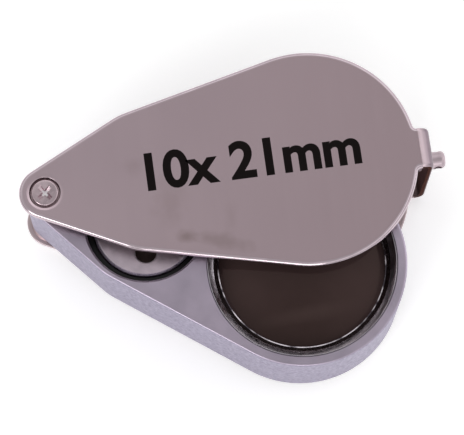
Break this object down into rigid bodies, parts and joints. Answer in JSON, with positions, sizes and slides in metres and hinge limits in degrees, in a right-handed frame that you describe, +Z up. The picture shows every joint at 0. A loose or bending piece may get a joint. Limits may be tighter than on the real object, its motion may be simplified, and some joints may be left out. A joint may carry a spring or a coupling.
{
  "type": "folding loupe",
  "caption": "Folding pocket loupe: a bent sheet cover carries a cast lens body that swings out on a screw pivot, with a lit lens, a screw battery cap and a lanyard stud.",
  "frame": {"origin": "on the cover's outer bottom face, on the lens axis of the closed loupe", "axes": "+X from the pivot to the strap at the cover's wide end, +Z up through the cover's two plates; the lens body is stored swung 22.5 degrees out towards -Y"},
  "size_m": [0.0548, 0.0399, 0.0172],
  "materials": {
    "cover_plating": "bright plated sheet, slightly smoked",
    "screw_steel": "bright plated",
    "frame_alloy": "satin cast",
    "polished_ring": "polished",
    "cell_holder": "black",
    "optical_glass": "polished, brownish reflections",
    "cap_alloy": "satin plated",
    "cell_steel": "bright",
    "contact_metal": "bright",
    "spring_steel": "plain",
    "washer_nylon": "natural",
    "lamp_epoxy": "clear"
  },
  "bodies": {
    "cover": {"folding_cover": "cover_plating", "pivot_screw": "screw_steel", "pivot_barrel": "screw_steel", "upper_friction_washer": "washer_nylon", "lower_friction_washer": "washer_nylon", "lanyard_stud": "cover_plating"},
    "cap_contact": {"cap_contact_plate": "contact_metal"},
    "battery_cap": {"battery_cap": "cap_alloy"},
    "switch_button": {"switch_button": "screw_steel"},
    "lens_body": {"lens_frame": "frame_alloy", "upper_lens_ring": "polished_ring", "lower_lens_ring": "polished_ring", "lens_cell": "cell_holder", "upper_lens_element": "optical_glass", "middle_lens_element": "optical_glass", "lower_lens_element": "optical_glass", "battery_sleeve": "cell_holder", "contact_spring": "spring_steel", "white_led": "lamp_epoxy", "led_bezel": "polished_ring", "led_anode_lead": "contact_metal", "led_cathode_lead": "contact_metal", "led_contact_strip": "contact_metal", "switch_bush": "screw_steel", "button_spring": "spring_steel", "switch_contact": "contact_metal", "lower_button_cell": "cell_steel", "middle_button_cell": "cell_steel", "upper_button_cell": "cell_steel"}
  },
  "joints": [
    {"name": "lens_swing", "type": "hinge", "parent": "cover", "child": "lens_body", "pos_m": [-0.0334, 0, 0.0086], "axis": [0, 0, 1], "continuous": true},
    {"name": "cap_lift", "type": "slide", "parent": "lens_body", "child": "cap_contact", "axis": [0, 0, 1], "range_m": [0, 0.00125]},
    {"name": "cap_turn", "type": "hinge", "parent": "cap_contact", "child": "battery_cap", "pos_m": [-0.02139, -0.00497, 0.013], "axis": [0, 0, 1], "range_deg": [0, 900]},
    {"name": "button_press", "type": "slide", "parent": "lens_body", "child": "switch_button", "axis": [-0.1507, -0.9886, 0], "range_m": [0, 0.0006], "stiffness_N_per_m": 400, "springref_m": -0.0005}
  ],
  "couplings": [
    {"joint": "cap_turn", "follows": "cap_lift", "rad_per_m": 12566}
  ]
}
